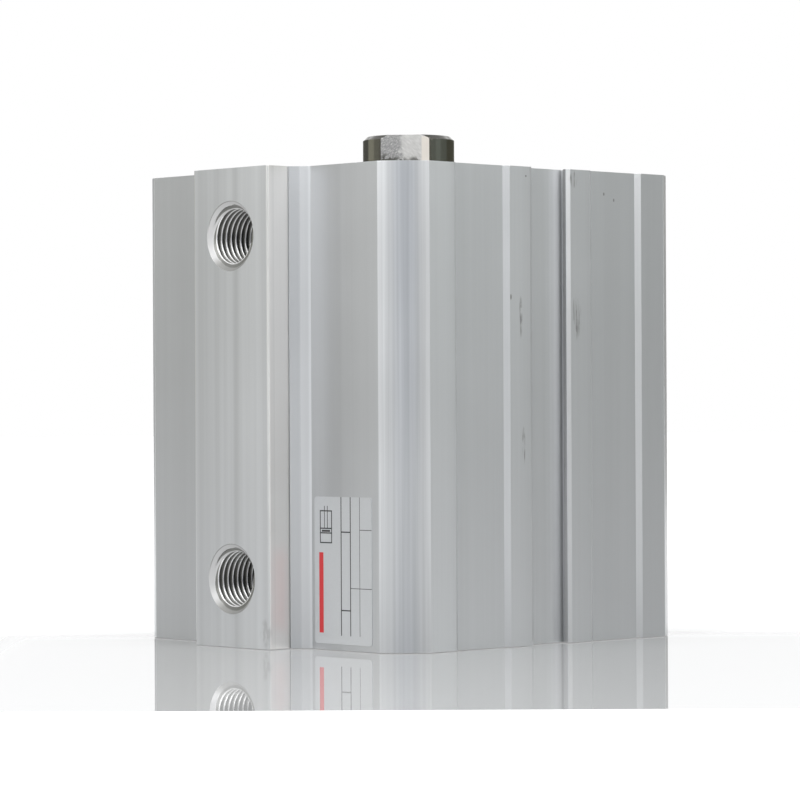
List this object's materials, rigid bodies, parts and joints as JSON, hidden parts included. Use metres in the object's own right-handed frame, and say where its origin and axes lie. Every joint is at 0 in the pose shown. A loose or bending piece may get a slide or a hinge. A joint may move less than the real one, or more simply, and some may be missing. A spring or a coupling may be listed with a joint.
{
  "type": "compact pneumatic cylinder",
  "caption": "Square compact pneumatic cylinder: extruded body with dovetail sensor rails, a boss with threaded air ports, and a piston rod with wrench flats that slides out of the front.",
  "frame": {"origin": "on the rod axis, in the plane of the rear mounting face", "axes": "+Z along the rod, out of the front end; the air ports face -Y; the label is on that side, towards +X"},
  "size_m": [0.0858, 0.0947, 0.1089],
  "materials": {
    "anodised_body": "satin clear anodised extrusion with fine draw lines",
    "turned_aluminium": "turned, fine concentric tool marks",
    "rod_steel": "ground and polished bar with milled flats",
    "spring_steel": "dark phosphated",
    "bearing_bronze": "plain sintered bronze",
    "black_rubber": "matt moulded rubber",
    "seal_rubber": "smooth moulded polyurethane",
    "guide_plastic": "filled fluoropolymer band",
    "magnet_ferrite": "plastic-bonded ferrite",
    "screw_steel": "blackened",
    "label_foil": "silver-grey polyester foil, no text"
  },
  "bodies": {
    "cylinder": {"barrel": "anodised_body", "front_cover": "turned_aluminium", "rear_cover": "turned_aluminium", "front_retaining_ring": "spring_steel", "rear_retaining_ring": "spring_steel", "front_cover_o_ring": "black_rubber", "rear_cover_o_ring": "black_rubber", "rod_bush": "bearing_bronze", "rod_seal": "seal_rubber", "rod_wiper": "seal_rubber", "front_bumper": "seal_rubber", "rear_bumper": "seal_rubber", "rating_label": "label_foil"},
    "piston_rings": {"wear_ring": "guide_plastic", "front_piston_seal": "seal_rubber", "rear_piston_seal": "seal_rubber"},
    "rod_and_piston": {"piston_rod": "rod_steel", "piston_front_half": "turned_aluminium", "piston_rear_half": "turned_aluminium", "magnet_ring": "magnet_ferrite", "piston_o_ring": "black_rubber", "piston_screw": "screw_steel"}
  },
  "joints": [
    {"name": "rod_slide", "type": "slide", "parent": "cylinder", "child": "piston_rings", "axis": [0, 0, 1], "range_m": [0, 0.05]},
    {"name": "rod_turn", "type": "hinge", "parent": "piston_rings", "child": "rod_and_piston", "pos_m": [0, 0, 0], "axis": [0, 0, 1], "continuous": true}
  ]
}
